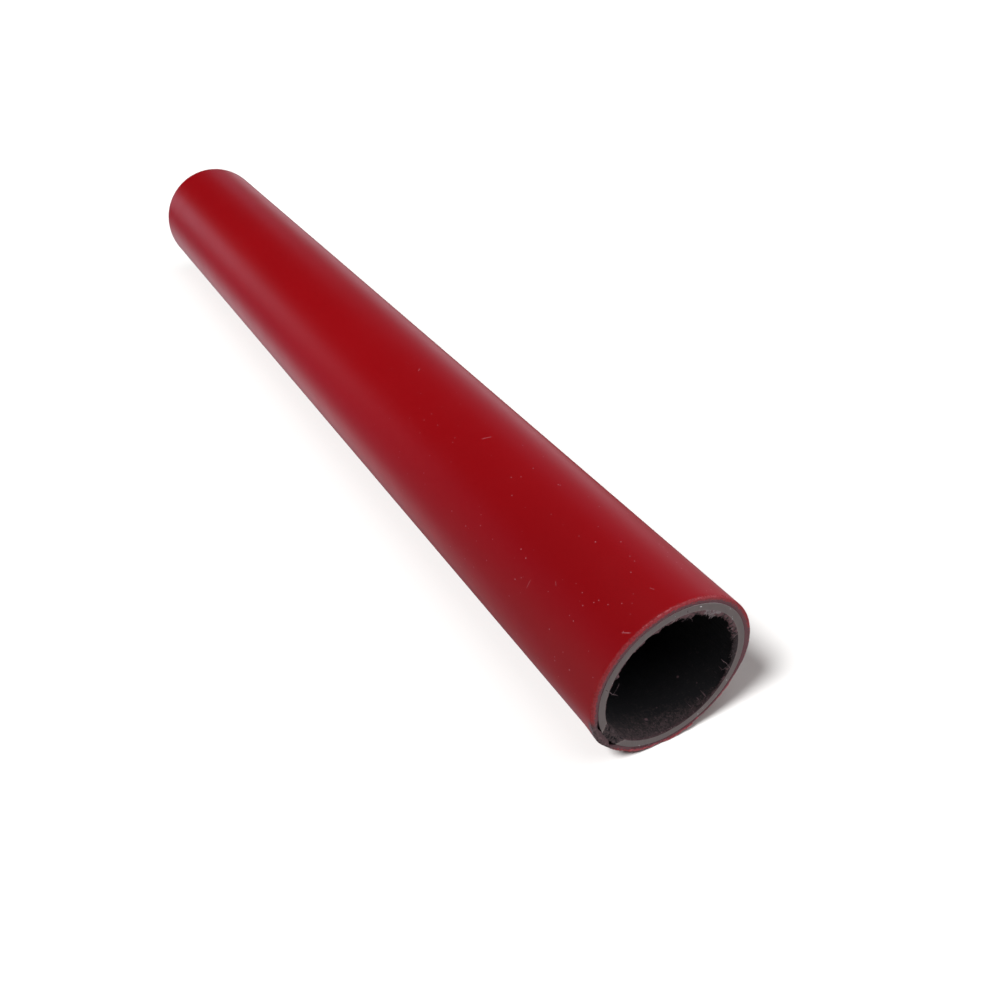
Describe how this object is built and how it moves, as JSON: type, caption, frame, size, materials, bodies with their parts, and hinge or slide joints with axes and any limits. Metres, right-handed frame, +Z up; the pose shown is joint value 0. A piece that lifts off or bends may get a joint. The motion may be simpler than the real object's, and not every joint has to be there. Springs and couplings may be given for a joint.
{
  "type": "hand post driver",
  "caption": "Tubular hand post driver: a steel tube open at the mouth and closed by a welded-in solid slug, in a thick vinyl grip sleeve.",
  "frame": {"origin": "on the ground under the middle of the driver's length, with the driver lying on its side", "axes": "+X along the tube towards its open mouth, +Z up, +Y across the tube"},
  "size_m": [0.508, 0.0652, 0.0653],
  "materials": {
    "tube_steel": "mill scale, with bright saw-cut ends",
    "sleeve_vinyl": "satin red vinyl",
    "slug_steel": "sawn",
    "weld_metal": "as welded"
  },
  "bodies": {
    "root": {"driver_tube": "tube_steel", "vinyl_sleeve": "sleeve_vinyl", "striking_slug": "slug_steel", "slug_weld": "weld_metal"}
  },
  "joints": []
}
